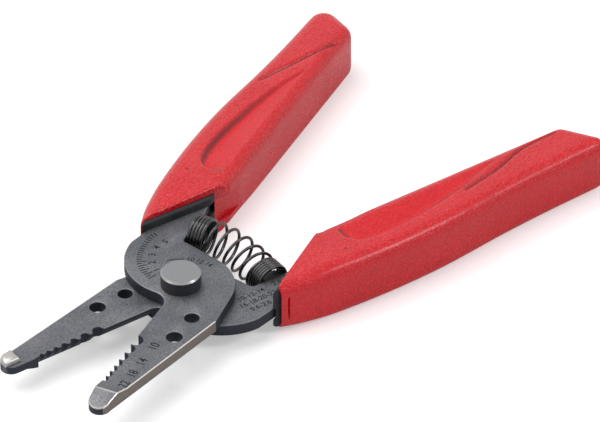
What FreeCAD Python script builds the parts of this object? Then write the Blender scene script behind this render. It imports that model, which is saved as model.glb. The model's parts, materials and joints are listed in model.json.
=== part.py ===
import FreeCAD, Part
import math
import os
import types

import PartDesign
import Sketcher

# A wire stripper of the kind with two stamped halves on one pivot, a return spring and moulded grips.
# Each half is drawn closed in its own frame: u (X) runs from the pivot to the grip's end, v (Y) points
# to that half's handle side, w (Z) is up from the plane where the two halves meet. The upper half
# turns up by half the opening angle. The lower half is the same stamping turned over about u.
# The assembly's origin is the middle of its bounding box in plan, on the surface it lies on.

VECTOR = FreeCAD.Vector
HALVES = ("upper", "lower")
HAIR = 1e-4  # places nearer to each other than this are the same place

# name, value in millimetres or degrees, what it is
DIMENSIONS = [
    ("opening_angle", 29.4, "angle between the two halves at rest"),
    ("joint_height", 7.4, "height of the plane where the halves meet, above the table"),
    ("face_gap", 0.06, "gap between the two halves' meeting faces"),
    ("blade_thickness", 3.0, "thickness of one stamped half"),
    ("pivot_shift", 0.0, "from the origin to the pivot axis, set from the bounding box"),
    # pivot
    ("bore_radius", 3.05, "pivot hole in each half"),
    ("pivot_clearance", 0.05, "radial clearance of the bolt in the halves"),
    ("head_radius", 4.7, "pivot bolt's head"),
    ("head_height", 3.6, "head above the upper half"),
    ("head_chamfer", 0.4, "bevel round the head's top"),
    ("washer_radius", 5.0, "thrust washer"),
    ("washer_thickness", 0.8, "thrust washer"),
    ("nut_flats", 8.0, "nut across its flats"),
    ("nut_height", 2.4, "nut"),
    ("bolt_tail", 0.3, "bolt standing out of the nut"),
    # disc and shoulder
    ("disc_radius", 12.5, "rounded side of the pivot disc"),
    ("disc_exit_degrees", 12.0, "where the disc's side leaves its circle, below the u axis"),
    ("heel_u", -9.1, "outer corner where the jaw meets the disc"),
    ("heel_v", -13.3, "outer corner where the jaw meets the disc"),
    ("shoulder_radius", 14.5, "round shoulder on the handle side"),
    ("shoulder_u", 9.4, "centre of the shoulder's arc"),
    ("shoulder_v", 3.1, "centre of the shoulder's arc"),
    ("throat_radius", 4.0, "hollow between the shoulder and the cutting edge"),
    # jaw
    ("edge_lap", 0.3, "how far each cutting edge passes the middle when closed"),
    ("edge_land", 0.7, "upright wall left at the lower half's cutting edge"),
    ("edge_bevel", 1.6, "width of the bevel ground from that wall to the outer face"),
    ("edge_bevel_start", 8.4, "pivot to the bevel's inner end"),
    ("first_notch", 23.0, "pivot to the largest stripping notch"),
    ("notch_bevel", 0.45, "widening of a notch at the outer face"),
    ("notch_bevel_depth", 1.6, "depth of that widening"),
    ("notch_land", 0.25, "edge left between two notches"),
    ("nose_lap", 0.5, "nose past the middle in its own layer"),
    ("nose_clearance", 0.12, "gap between the two noses when closed"),
    ("nose_ramp", 1.7, "length of the slope from the edge out to the nose"),
    ("nose_tip", 47.6, "pivot to the nose's tip"),
    ("nose_radius", 2.5, "rounding of the nose's tip"),
    ("nose_outer", 4.6, "nose's outer side, from the middle"),
    ("nose_lip_length", 4.2, "length of the lip across the lower nose, beside the upper one"),
    ("nose_lip_height", 1.4, "height of that lip"),
    ("nose_ridge", 0.7, "height of the ridge across the upper nose, over the blade"),
    ("nose_ridge_back", 5.1, "tip to the ridge"),
    ("nose_tip_drop", 1.1, "fall of the nose's outer face at its tip, under the blade's face"),
    ("large_hole_radius", 1.9, "large wire-looping hole"),
    ("large_hole_u", -18.2, "large wire-looping hole"),
    ("large_hole_v", -7.3, "large wire-looping hole"),
    ("small_hole_radius", 1.75, "small wire-looping hole"),
    ("small_hole_u", -10.2, "small wire-looping hole"),
    ("small_hole_v", -7.8, "small wire-looping hole"),
    # spring and its seat
    ("seat_u", 20.9, "middle of the spring's seat"),
    ("seat_v", 7.0, "seat edge, from the middle"),
    ("seat_back", 15.9, "pivot to the seat's inner end"),
    ("seat_corner", 1.1, "rounding of the seat's inner end"),
    ("seat_margin", 1.5, "seat's flat past the coil, towards the grip"),
    ("spring_radius", 4.5, "outside of the coil"),
    ("spring_wire", 0.75, "spring wire's diameter"),
    ("spring_turns", 14.0, "turns of the coil"),
    ("spring_end_gap", 0.15, "coil's end to its seat, where it is nearest"),
    ("peg_width", 4.4, "peg that holds the coil's end"),
    ("peg_length", 2.4, "peg that holds the coil's end"),
    # tang inside the grip
    ("tang_entry_v", 16.2, "tang's outer side at the grip's mouth"),
    ("tang_waist_u", 34.0, "where the tang has narrowed"),
    ("tang_inner", 8.6, "tang's inner side"),
    ("tang_outer_end", 12.6, "tang's outer side at its end"),
    ("tang_stop", 4.0, "core's solid end past the tang"),
    # grips
    ("grip_start", 12.0, "pivot to the front of the grip's core"),
    ("grip_outer_front", 18.6, "cover's outer side at its front"),
    ("grip_belly_end", 62.0, "where the outward bow ends"),
    ("grip_belly_v", 20.7, "cover's outer side there"),
    ("grip_bow_radius", 150.0, "bow of the cover's outer side"),
    ("grip_waist_end", 94.0, "where the inward bow ends"),
    ("grip_waist_radius", 460.0, "inward bow of the cover's outer side"),
    ("grip_end_outer_u", 113.2, "outer corner of the grip's end"),
    ("grip_end_outer_v", 16.9, "outer corner of the grip's end"),
    ("grip_end_inner_u", 105.6, "inner corner of the grip's end"),
    ("grip_inner", 4.9, "cover's inner side, from the middle"),
    ("grip_end_outer_radius", 4.0, "rounding of the end's outer corner"),
    ("grip_end_inner_radius", 3.6, "rounding of the end's inner corner"),
    ("grip_edge_radius", 3.2, "rounding of the cover's long edges"),
    ("cover_wall", 2.1, "cover's wall"),
    ("moulded_fit", 0.05, "gap between the tang, the core and the cover"),
    ("mouth_outer_u", 15.5, "front of the cover's outer side"),
    ("mouth_outer_v", 17.4, "outer end of the slanted mouth"),
    ("mouth_inner_u", 36.0, "inner end of the slanted mouth"),
    ("core_lip", 2.4, "how far along u the core's front stands out of the mouth"),
    ("core_round", 1.0, "rounding of the core's front edges"),
    ("panel_depth", 0.6, "sunk panel on the grip's faces"),
    ("panel_front", 38.5, "front of the panel"),
    ("panel_inner", 7.5, "inner side of the panel"),
    ("panel_outer", 15.4, "outer side of the panel"),
    ("panel_shoulder", 47.0, "where the panel starts to narrow"),
    ("panel_corner", 2.6, "rounding of the panel's outer front corner"),
    ("panel_end", 84.0, "pointed end of the panel"),
    ("panel_sweep_radius", 95.0, "curve of the panel's outer side"),
    ("cut_margin", 5.0, "how far a cutting outline reaches past what it cuts"),
]

# conductor diameters of the seven stripping notches, 10 to 22 gauge, largest first
NOTCH_WIRES = [
    ("wire_ten", 2.59),
    ("wire_twelve", 2.05),
    ("wire_fourteen", 1.63),
    ("wire_sixteen", 1.29),
    ("wire_eighteen", 1.02),
    ("wire_twenty", 0.81),
    ("wire_twenty_two", 0.64),
]


class Size:
    """A length or angle with its value and the same thing written as a document expression."""

    def __init__(self, value, text):
        self.value = float(value)
        self.text = text

    @staticmethod
    def of(other):
        return other if isinstance(other, Size) else Size(other, repr(float(other)))

    def joined(self, other, sign, value):
        return Size(value, f"({self.text} {sign} {Size.of(other).text})")

    def __add__(self, other):
        return self.joined(other, "+", self.value + Size.of(other).value)

    def __sub__(self, other):
        return self.joined(other, "-", self.value - Size.of(other).value)

    def __mul__(self, other):
        return self.joined(other, "*", self.value * Size.of(other).value)

    def __truediv__(self, other):
        return self.joined(other, "/", self.value / Size.of(other).value)

    def __radd__(self, other):
        return Size.of(other) + self

    def __rsub__(self, other):
        return Size.of(other) - self

    def __rmul__(self, other):
        return Size.of(other) * self

    def __neg__(self):
        return Size(-self.value, f"(0 - {self.text})")


def sine(angle):
    return Size(math.sin(math.radians(angle.value)), f"sin({angle.text})")


def cosine(angle):
    return Size(math.cos(math.radians(angle.value)), f"cos({angle.text})")


def arctangent(size):
    return Size(math.degrees(math.atan(size.value)), f"(atan({size.text}) / 1 deg)")


def arcsine(size):
    return Size(math.degrees(math.asin(size.value)), f"(asin({size.text}) / 1 deg)")


def arccosine(size):
    return Size(math.degrees(math.acos(size.value)), f"(acos({size.text}) / 1 deg)")


def root(size):
    return Size(math.sqrt(size.value), f"sqrt({size.text})")


def make_sheet(doc):
    """Puts the driving dimensions in a spreadsheet and returns them as Sizes."""
    sheet = doc.addObject("Spreadsheet::Sheet", "Dims")
    wires = [(name, width, "conductor for one stripping notch") for name, width in NOTCH_WIRES]
    sizes = {}
    for row, (name, value, note) in enumerate(DIMENSIONS + wires, start=1):
        sheet.set(f"A{row}", name)
        sheet.set(f"B{row}", str(value))
        sheet.set(f"C{row}", note)
        sheet.setAlias(f"B{row}", name)
        sizes[name] = Size(value, f"Dims.{name}")
    doc.recompute()
    return sheet, types.SimpleNamespace(**sizes)


def make_body(doc, label):
    body = doc.addObject("PartDesign::Body", label)
    body.Label = label
    return body


def make_sketch(body, name, plane, height=None):
    """A sketch on one of the body's own origin planes, raised by height along the plane's normal."""
    sketch = body.newObject("Sketcher::SketchObject", name)
    base = next(f for f in body.Origin.OriginFeatures if f.Role == plane)
    sketch.AttachmentSupport = (base, "")
    sketch.MapMode = "FlatFace"
    if height is not None:
        sketch.setExpression("AttachmentOffset.Base.z", height.text)
    return sketch


def hold(sketch, kind, *references):
    """Adds a constraint whose last reference is a Size, bound to the Size's expression."""
    size = references[-1]
    index = sketch.addConstraint(Sketcher.Constraint(kind, *references[:-1], size.value))
    sketch.setExpression(f"Constraints[{index}]", size.text)


def hold_point(sketch, piece, end, point):
    hold(sketch, "DistanceX", -1, 1, piece, end, point[0])
    hold(sketch, "DistanceY", -1, 1, piece, end, point[1])


def add_circle(sketch, x, y, radius):
    centre = VECTOR(Size.of(x).value, Size.of(y).value, 0)
    piece = sketch.addGeometry(Part.Circle(centre, VECTOR(0, 0, 1), radius.value))
    hold_point(sketch, piece, 3, (Size.of(x), Size.of(y)))
    hold(sketch, "Radius", piece, radius)


class Outline:
    """A closed run of lines and arcs in a sketch, with every corner held from the sketch's axes."""

    def __init__(self, sketch, x, y):
        self.sketch = sketch
        self.start = (Size.of(x), Size.of(y))
        self.here = self.start
        self.pieces = []

    def add(self, geometry, start_end, finish_end, target):
        piece = self.sketch.addGeometry(geometry)
        if self.pieces:
            last, last_end = self.pieces[-1][0], self.pieces[-1][2]
            self.sketch.addConstraint(Sketcher.Constraint("Coincident", last, last_end, piece, start_end))
        else:
            hold_point(self.sketch, piece, start_end, self.start)
        self.pieces.append((piece, start_end, finish_end))
        if target is self.start:
            first, first_end = self.pieces[0][0], self.pieces[0][1]
            self.sketch.addConstraint(Sketcher.Constraint("Coincident", piece, finish_end, first, first_end))
        else:
            hold_point(self.sketch, piece, finish_end, target)
        self.here = target
        return piece

    def line(self, x, y):
        return self.line_to((Size.of(x), Size.of(y)))

    def line_to(self, target):
        start, finish = (VECTOR(p[0].value, p[1].value, 0) for p in (self.here, target))
        self.add(Part.LineSegment(start, finish), 1, 2, target)
        return self

    def arc(self, x, y, radius, turn):
        """An arc of known radius to a point. turn is 1 when it bends left of its way and -1 when right."""
        piece = self.bend((Size.of(x), Size.of(y)), radius.value, turn)
        hold(self.sketch, "Radius", piece, radius)
        return self

    def bend(self, target, radius, turn):
        """The arc itself, not yet held to its radius."""
        start, finish = (VECTOR(p[0].value, p[1].value, 0) for p in (self.here, target))
        chord = finish - start
        half = chord.Length / 2
        side = VECTOR(-chord.y, chord.x, 0).normalize() * turn
        centre = start + chord * 0.5 + side * math.sqrt(max(radius ** 2 - half ** 2, 0.0))
        angles = [math.atan2(p.y - centre.y, p.x - centre.x) for p in (start, finish)]
        if turn < 0:
            angles.reverse()
        circle = Part.Circle(centre, VECTOR(0, 0, 1), radius)
        start_end, finish_end = (1, 2) if turn > 0 else (2, 1)
        return self.add(Part.ArcOfCircle(circle, *angles), start_end, finish_end, target)

    def close(self):
        return self.line_to(self.start)


def pad(body, name, sketch, length, midplane=False, reverse=False):
    feature = body.newObject("PartDesign::Pad", name)
    feature.Profile = sketch
    feature.Midplane = midplane
    feature.Reversed = reverse
    feature.setExpression("Length", length.text)
    return feature


def pocket(body, name, sketch, length=None, reverse=False):
    """Cuts through everything both ways, or to a length on one side of the sketch."""
    feature = body.newObject("PartDesign::Pocket", name)
    feature.Profile = sketch
    feature.Reversed = reverse
    if length is None:
        feature.Type = "ThroughAll"
        feature.Midplane = True
    else:
        feature.setExpression("Length", length.text)
    return feature


def notch_places(d):
    """The stripping notches as (place along u, conductor radius), each beside the one before."""
    places = []
    u = -d.first_notch
    last = None
    for name, _ in NOTCH_WIRES:
        radius = getattr(d, name) / 2
        if last is not None:
            u = u - (last + radius + 2 * d.notch_bevel + d.notch_land)
        places.append((u, radius))
        last = radius
    return places


def edge_finish(d):
    """Where the cutting edge ends, past the smallest notch."""
    last_u, last_radius = notch_places(d)[-1]
    return last_u - last_radius - d.notch_bevel - d.notch_land


def tang_end(d):
    return d.grip_waist_end - d.tang_stop


def blade_outline(sketch, d):
    """One stamped half in plan, from the nose round by the heel, disc, seat, tang and shoulder."""
    tip_turn = d.nose_radius - d.nose_tip
    edge_end = edge_finish(d)
    heel_reach = root(d.heel_u * d.heel_u + d.heel_v * d.heel_v)
    heel_swing = arccosine(d.disc_radius / heel_reach)
    heel_way = arctangent(d.heel_v / d.heel_u) - 180
    touch = heel_way + heel_swing
    exit_way = -d.disc_exit_degrees
    throat_u = d.shoulder_u - d.shoulder_radius
    edge_v = d.edge_lap
    peg_side = d.peg_width / 2
    outline = Outline(sketch, edge_end - d.nose_ramp, d.nose_lap)
    outline.line(tip_turn, d.nose_lap)
    outline.arc(-d.nose_tip, d.nose_lap - d.nose_radius, d.nose_radius, 1)
    outline.line(-d.nose_tip, d.nose_radius - d.nose_outer)
    outline.arc(tip_turn, -d.nose_outer, d.nose_radius, 1)
    outline.line(d.heel_u, d.heel_v)
    outline.line(d.disc_radius * cosine(touch), d.disc_radius * sine(touch))
    outline.arc(d.disc_radius * cosine(exit_way), d.disc_radius * sine(exit_way), d.disc_radius, 1)
    outline.line(d.seat_back - d.seat_corner, d.seat_v - d.seat_corner)
    outline.arc(d.seat_back, d.seat_v, d.seat_corner, -1)
    outline.line(d.seat_u - peg_side, d.seat_v)
    outline.line(d.seat_u - peg_side, d.seat_v - d.peg_length)
    outline.line(d.seat_u + peg_side, d.seat_v - d.peg_length)
    outline.line(d.seat_u + peg_side, d.seat_v)
    outline.line(d.seat_u + d.spring_radius + d.seat_margin, d.seat_v)
    outline.line(d.tang_waist_u, d.tang_inner)
    outline.line(tang_end(d), d.tang_inner)
    outline.line(tang_end(d), d.tang_outer_end)
    outline.line(d.mouth_outer_u, d.tang_entry_v)
    outline.line(d.shoulder_u, d.shoulder_v + d.shoulder_radius)
    outline.arc(throat_u, edge_v + d.throat_radius, d.shoulder_radius, 1)
    outline.arc(throat_u - d.throat_radius, edge_v, d.throat_radius, -1)
    outline.line(edge_end, edge_v)
    outline.close()


def make_blade(doc, label, d):
    """The stamped steel half: jaw, stepped nose, disc, shoulder, spring seat with its peg, and tang."""
    body = make_body(doc, label)
    base = d.face_gap / 2
    top = base + d.blade_thickness
    plan = make_sketch(body, label + "_plan", "XY_Plane", base)
    blade_outline(plan, d)
    pad(body, label + "_plate", plan, d.blade_thickness + d.nose_ridge)

    clear = top + d.nose_ridge + d.cut_margin
    ridge_u = d.nose_ridge_back - d.nose_tip
    upper = label == f"{HALVES[0]}_blade"
    ridge = d.nose_ridge if upper else -d.nose_tip_drop
    side = make_sketch(body, label + "_side", "XZ_Plane")
    profile = Outline(side, tang_end(d) + d.cut_margin, top)
    profile.line(edge_finish(d), top)
    profile.line(ridge_u, top + ridge)
    profile.line(-d.nose_tip, top - d.nose_tip_drop)
    profile.line(-d.nose_tip - d.cut_margin, top - d.nose_tip_drop)
    profile.line(-d.nose_tip - d.cut_margin, clear)
    profile.line(tang_end(d) + d.cut_margin, clear)
    profile.close()
    pocket(body, label + "_top", side)

    if not upper:
        nose_lip(body, label, d, base)
        edge_bevel(body, label, d, base)

    holes = make_sketch(body, label + "_holes_plan", "XY_Plane")
    add_circle(holes, 0, 0, d.bore_radius)
    add_circle(holes, d.large_hole_u, d.large_hole_v, d.large_hole_radius)
    add_circle(holes, d.small_hole_u, d.small_hole_v, d.small_hole_radius)
    for u, radius in notch_places(d):
        add_circle(holes, u, 0, radius)
    pocket(body, label + "_holes", holes)
    notch_throats(body, label, d)
    plane = next(f for f in body.Origin.OriginFeatures if f.Role == "XY_Plane")
    for number, (u, radius) in enumerate(notch_places(d), start=1):
        sink = body.newObject("PartDesign::SubtractiveCone", f"{label}_notch_bevel_{number}")
        sink.AttachmentSupport = (plane, "")
        sink.MapMode = "FlatFace"
        sink.setExpression("AttachmentOffset.Base.x", u.text)
        sink.setExpression("AttachmentOffset.Base.z", (top - d.notch_bevel_depth).text)
        sink.setExpression("Radius1", radius.text)
        sink.setExpression("Radius2", (radius + d.notch_bevel).text)
        sink.setExpression("Height", d.notch_bevel_depth.text)
    return body


def nose_lip(body, label, d, base):
    """The lip across the lower nose, which lies beside the upper nose when the jaws are closed."""
    inner = -d.nose_lap - d.nose_clearance
    tip_turn = d.nose_radius - d.nose_tip
    back = d.nose_lip_length - d.nose_tip
    share = (back - tip_turn) / (d.heel_u - tip_turn)
    plan = make_sketch(body, label + "_lip_plan", "XY_Plane", base)
    outline = Outline(plan, back, inner)
    outline.line(-d.nose_tip, inner)
    outline.line(-d.nose_tip, d.nose_radius - d.nose_outer)
    outline.arc(tip_turn, -d.nose_outer, d.nose_radius, 1)
    outline.line(back, -d.nose_outer + share * (d.heel_v + d.nose_outer))
    outline.close()
    pad(body, label + "_lip", plan, d.nose_lip_height, reverse=True)


def edge_bevel(body, label, d, base):
    """The lower half's cutting edge, ground away from below to a thin wall beside the upper half."""
    top = base + d.blade_thickness
    clear = top + d.cut_margin
    plan = make_sketch(body, label + "_edge_section", "YZ_Plane", edge_finish(d))
    section = Outline(plan, d.edge_lap, base + d.edge_land)
    section.line(d.edge_lap + d.cut_margin, base + d.edge_land)
    section.line(d.edge_lap + d.cut_margin, clear)
    section.line(d.edge_lap - d.edge_bevel, clear)
    section.line(d.edge_lap - d.edge_bevel, top)
    section.close()
    pocket(body, label + "_edge_bevel", plan, -edge_finish(d) - d.edge_bevel_start, reverse=True)


def notch_throats(body, label, d):
    """The notches' flared mouths, which leave pointed teeth between them."""
    plan = make_sketch(body, label + "_throats_plan", "XY_Plane")
    outside = d.edge_lap + d.cut_margin
    for u, radius in notch_places(d):
        flare = radius + d.notch_bevel
        throat = Outline(plan, u - flare, d.edge_lap)
        throat.line(u, -radius)
        throat.line(u + flare, d.edge_lap)
        throat.line(u + flare, outside)
        throat.line(u - flare, outside)
        throat.close()
    pocket(body, label + "_throats", plan)


def mouth_slant(d):
    """How far the grip's mouth runs along u for each millimetre across."""
    return (d.mouth_inner_u - d.mouth_outer_u) / (d.mouth_outer_v - d.grip_inner)


def core_outline(sketch, d, grow):
    """The core in plan, with its front along the mouth's slant. grow moves its sides out."""
    inset = d.cover_wall - grow
    inner = d.grip_inner + inset
    outer = d.grip_outer_front - inset
    front_run = (outer - inner) * mouth_slant(d)
    outline = Outline(sketch, d.grip_start - grow + front_run, inner)
    outline.line(d.grip_waist_end + grow, inner)
    outline.line(d.grip_waist_end + grow, waist_v(d) - inset)
    outline.arc(d.grip_belly_end, d.grip_belly_v - inset, d.grip_waist_radius, -1)
    outline.arc(d.grip_start - grow, outer, d.grip_bow_radius, 1)
    outline.close()


def waist_v(d):
    """The outer side's place at the waist, where the inward bow carries on from the outward one."""
    run, rise = d.grip_belly_end - d.grip_start, d.grip_belly_v - d.grip_outer_front
    chord = root(run * run + rise * rise)
    lean = arctangent(rise / run) - arcsine(chord / (2 * d.grip_bow_radius))
    end_sine = sine(lean) + (d.grip_waist_end - d.grip_belly_end) / d.grip_waist_radius
    end_cosine = root(1 - end_sine * end_sine)
    return d.grip_belly_v + d.grip_waist_radius * (cosine(lean) - end_cosine)


def cut_mouth(body, label, d, lip):
    """Cuts the front off along the mouth's slant, leaving lip ahead of the mouth."""
    front = d.grip_start - d.cut_margin
    outside = d.grip_belly_v + d.cut_margin
    corner = d.mouth_outer_u - lip
    mouth = make_sketch(body, label + "_mouth_plan", "XY_Plane")
    cut = Outline(mouth, front, outside)
    cut.line(front, -d.cut_margin)
    cut.line(corner + (d.mouth_outer_v + d.cut_margin) * mouth_slant(d), -d.cut_margin)
    cut.line(corner, d.mouth_outer_v)
    cut.line(corner, outside)
    cut.close()
    return pocket(body, label + "_mouth", mouth)


def make_core(doc, label, d):
    """The black liner round the tang, open at the front, with a slot that fits the tang."""
    body = make_body(doc, label)
    half = d.joint_height - d.cover_wall
    plan = make_sketch(body, label + "_plan", "XY_Plane")
    core_outline(plan, d, Size.of(0))
    pad(body, label + "_block", plan, 2 * half, midplane=True)
    block = cut_mouth(body, label, d, d.core_lip)
    doc.recompute()
    rounds = body.newObject("PartDesign::Fillet", label + "_rounds")
    rounds.Base = (block, front_edges(block.Shape, half.value))
    rounds.setExpression("Radius", d.core_round.text)
    fit = d.moulded_fit
    base = d.face_gap / 2 - fit
    slot = make_sketch(body, label + "_slot_plan", "XY_Plane", base)
    outline = Outline(slot, d.grip_start - d.cut_margin, d.tang_inner - d.cut_margin)
    outline.line(d.tang_waist_u - d.cut_margin, d.tang_inner - d.cut_margin)
    outline.line(d.tang_waist_u, d.tang_inner - fit)
    outline.line(tang_end(d) + fit, d.tang_inner - fit)
    outline.line(tang_end(d) + fit, d.tang_outer_end + fit)
    outline.line(d.mouth_outer_u, d.tang_entry_v + fit)
    outline.line(d.grip_start - d.cut_margin, d.grip_outer_front + d.cut_margin)
    outline.close()
    pocket(body, label + "_slot", slot, d.blade_thickness + 2 * fit, reverse=True)
    return body


def front_edges(shape, half):
    """Names of the core's front edges at its top and bottom."""
    names = []
    for level in (half, -half):
        flat = [(edge.CenterOfMass.x, number) for number, edge in enumerate(shape.Edges, start=1)
                if all(abs(vertex.Point.z - level) < HAIR for vertex in edge.Vertexes)]
        names.append(f"Edge{min(flat)[1]}")
    return names


def make_cover(doc, label, d):
    """The red cover: bowed in plan, rounded all along, sunk panels, hollow for the core."""
    body = make_body(doc, label)
    half = d.joint_height
    plan = make_sketch(body, label + "_plan", "XY_Plane")
    outline = Outline(plan, d.grip_start, d.grip_inner)
    outline.line(d.grip_end_inner_u, d.grip_inner)
    outline.line(d.grip_end_outer_u, d.grip_end_outer_v)
    outline.line(d.grip_waist_end, waist_v(d))
    outline.arc(d.grip_belly_end, d.grip_belly_v, d.grip_waist_radius, -1)
    outline.arc(d.grip_start, d.grip_outer_front, d.grip_bow_radius, 1)
    outline.close()
    last = pad(body, label + "_block", plan, 2 * half, midplane=True)
    corners = (("outer", d.grip_end_outer_u, d.grip_end_outer_radius),
               ("inner", d.grip_end_inner_u, d.grip_end_inner_radius))
    for name, u, radius in corners:
        doc.recompute()
        upright = upright_edge(last.Shape, u.value)
        feature = body.newObject("PartDesign::Fillet", f"{label}_{name}_corner")
        feature.Base = (last, [upright])
        feature.setExpression("Radius", radius.text)
        last = feature
    doc.recompute()
    long_edges = body.newObject("PartDesign::Fillet", label + "_long_edges")
    long_edges.Base = (last, face_rim(last.Shape, half.value, d.grip_start.value))
    long_edges.setExpression("Radius", d.grip_edge_radius.text)

    hollow = make_sketch(body, label + "_hollow_plan", "XY_Plane", -(half - d.cover_wall + d.moulded_fit))
    core_outline(hollow, d, d.moulded_fit)
    pocket(body, label + "_hollow", hollow, 2 * (half - d.cover_wall + d.moulded_fit), reverse=True)

    cut_mouth(body, label, d, Size.of(0))

    for name, side in (("top", 1), ("bottom", -1)):
        panel = make_sketch(body, f"{label}_{name}_panel_plan", "XY_Plane", side * half)
        edge = Outline(panel, d.panel_front, d.panel_inner)
        edge.line(d.panel_end, d.panel_inner)
        edge.arc(d.panel_shoulder, d.panel_outer, d.panel_sweep_radius, 1)
        edge.line(d.panel_front + d.panel_corner, d.panel_outer)
        edge.arc(d.panel_front, d.panel_outer - d.panel_corner, d.panel_corner, 1)
        edge.close()
        pocket(body, f"{label}_{name}_panel", panel, d.panel_depth, reverse=side < 0)
    return body


def upright_edge(shape, u):
    """Name of the upright edge at one place along u."""
    for number, edge in enumerate(shape.Edges, start=1):
        ends = [v.Point for v in edge.Vertexes]
        if len(ends) == 2 and all(abs(p.x - u) < HAIR for p in ends) and abs(ends[0].z - ends[1].z) > HAIR:
            return f"Edge{number}"
    raise ValueError(f"no upright edge at {u}")


def face_rim(shape, half, front):
    """Names of the edges round the top and bottom faces, but not across the front."""
    names = []
    for number, edge in enumerate(shape.Edges, start=1):
        points = [edge.valueAt(p) for p in (edge.FirstParameter, edge.LastParameter)]
        middle = edge.valueAt((edge.FirstParameter + edge.LastParameter) / 2)
        flat = all(abs(abs(p.z) - half) < HAIR for p in points + [middle])
        if flat and abs(middle.x - front) > HAIR:
            names.append(f"Edge{number}")
    return names


def make_bolt(doc, d):
    """Shoulder bolt: raised bevelled head on the upper half, shank through both, tail in the nut."""
    body = make_body(doc, "pivot_bolt")
    stack = d.face_gap / 2 + d.blade_thickness
    under = stack + d.pivot_clearance
    shank = d.bore_radius - d.pivot_clearance
    tail = under + d.washer_thickness + d.nut_height + d.bolt_tail
    head_top = under + d.head_height
    profile = make_sketch(body, "pivot_bolt_profile", "XZ_Plane")
    outline = Outline(profile, 0, -tail)
    outline.line(shank, -tail)
    outline.line(shank, under)
    outline.line(d.head_radius, under)
    outline.line(d.head_radius, head_top - d.head_chamfer)
    outline.line(d.head_radius - d.head_chamfer, head_top)
    outline.line(0, head_top)
    outline.close()
    turned = body.newObject("PartDesign::Revolution", "pivot_bolt_turned")
    turned.Profile = profile
    turned.ReferenceAxis = (profile, ["V_Axis"])
    turned.Angle = 360
    return body


def make_washer(doc, d):
    body = make_body(doc, "pivot_washer")
    top = d.face_gap / 2 + d.blade_thickness + d.pivot_clearance
    plan = make_sketch(body, "pivot_washer_plan", "XY_Plane", -top)
    add_circle(plan, 0, 0, d.washer_radius)
    add_circle(plan, 0, 0, d.bore_radius)
    pad(body, "pivot_washer_ring", plan, d.washer_thickness, reverse=True)
    return body


def make_nut(doc, d):
    """Hexagon nut on the bolt's tail, threaded bore drawn plain at the bolt's size plus a hair."""
    body = make_body(doc, "pivot_nut")
    top = d.face_gap / 2 + d.blade_thickness + d.pivot_clearance + d.washer_thickness
    plan = make_sketch(body, "pivot_nut_plan", "XY_Plane", -top)
    across = d.nut_flats / math.sqrt(3)
    outline = Outline(plan, across, 0)
    for side in range(1, 6):
        angle = math.radians(60 * side)
        outline.line(across * math.cos(angle), across * math.sin(angle))
    outline.close()
    add_circle(plan, 0, 0, d.bore_radius)
    pad(body, "pivot_nut_block", plan, d.nut_height, reverse=True)
    return body


def make_spring(doc, d):
    """Coil between the two seats, its axis leaning from the upper half's mid height to the lower's."""
    turn = d.opening_angle / 2
    middle = d.face_gap / 2 + d.blade_thickness / 2
    end_x = d.seat_u * cosine(turn) - d.seat_v * sine(turn)
    end_y = d.seat_u * sine(turn) + d.seat_v * cosine(turn)
    clear = d.spring_radius * sine(turn) + d.spring_end_gap + d.spring_wire / 2
    coil = doc.addObject("Part::Helix", "spring_helix")
    mean = d.spring_radius - d.spring_wire / 2
    length = 2 * (end_y - clear)
    coil.setExpression("Radius", mean.text)
    coil.setExpression("Height", length.text)
    coil.setExpression("Pitch", (length / d.spring_turns).text)
    coil.LocalCoord = 0
    wire = doc.addObject("Part::Circle", "spring_section")
    wire.setExpression("Radius", (d.spring_wire / 2).text)
    wire.Placement = FreeCAD.Placement(VECTOR(mean.value, 0, 0), FreeCAD.Rotation(VECTOR(1, 0, 0), 90))
    wire.setExpression("Placement.Base.x", mean.text)
    spring = doc.addObject("Part::Sweep", "return_spring")
    spring.Label = "return_spring"
    spring.Sections = [wire]
    spring.Spine = (coil, [])
    spring.Solid = True
    spring.Frenet = True
    lean = arctangent(middle / end_y)
    tilt = 90 - lean
    spring.Placement = FreeCAD.Placement(VECTOR(0, 0, 0), FreeCAD.Rotation(VECTOR(-1, 0, 0), tilt.value))
    spring.setExpression("Placement.Rotation.Angle", tilt.text)
    spring.setExpression("Placement.Base.x", (d.pivot_shift + end_x).text)
    spring.setExpression("Placement.Base.y", (-(end_y - clear)).text)
    spring.setExpression("Placement.Base.z", (d.joint_height - middle * (end_y - clear) / end_y).text)
    return spring


def place_half(piece, half, d):
    """Turns a piece of one half about the pivot, and turns the lower half's pieces over."""
    turn = d.opening_angle / 2
    if half == "upper":
        piece.Placement = FreeCAD.Placement(VECTOR(0, 0, 0), FreeCAD.Rotation(VECTOR(0, 0, 1), turn.value))
        piece.setExpression("Placement.Rotation.Angle", turn.text)
    else:
        quarter = math.radians(turn.value / 2)
        axis = VECTOR(math.cos(quarter), -math.sin(quarter), 0)
        piece.Placement = FreeCAD.Placement(VECTOR(0, 0, 0), FreeCAD.Rotation(axis, 180))
        piece.setExpression("Placement.Rotation.Axis.x", cosine(turn / 2).text)
        piece.setExpression("Placement.Rotation.Axis.y", (-sine(turn / 2)).text)
    place_on_pivot(piece, d)


def place_on_pivot(piece, d):
    piece.setExpression("Placement.Base.x", d.pivot_shift.text)
    piece.setExpression("Placement.Base.z", d.joint_height.text)


def check_document(doc, pieces):
    """Stops on any failed object or unsound piece."""
    failed = [o.Name for o in doc.Objects if "Invalid" in o.State or "Error" in o.State]
    if failed:
        raise RuntimeError(f"failed objects: {failed}")
    for piece in pieces:
        if piece.Shape.isNull() or not piece.Shape.isValid() or not piece.Shape.Solids:
            raise RuntimeError(f"unsound shape: {piece.Label}")


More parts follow.
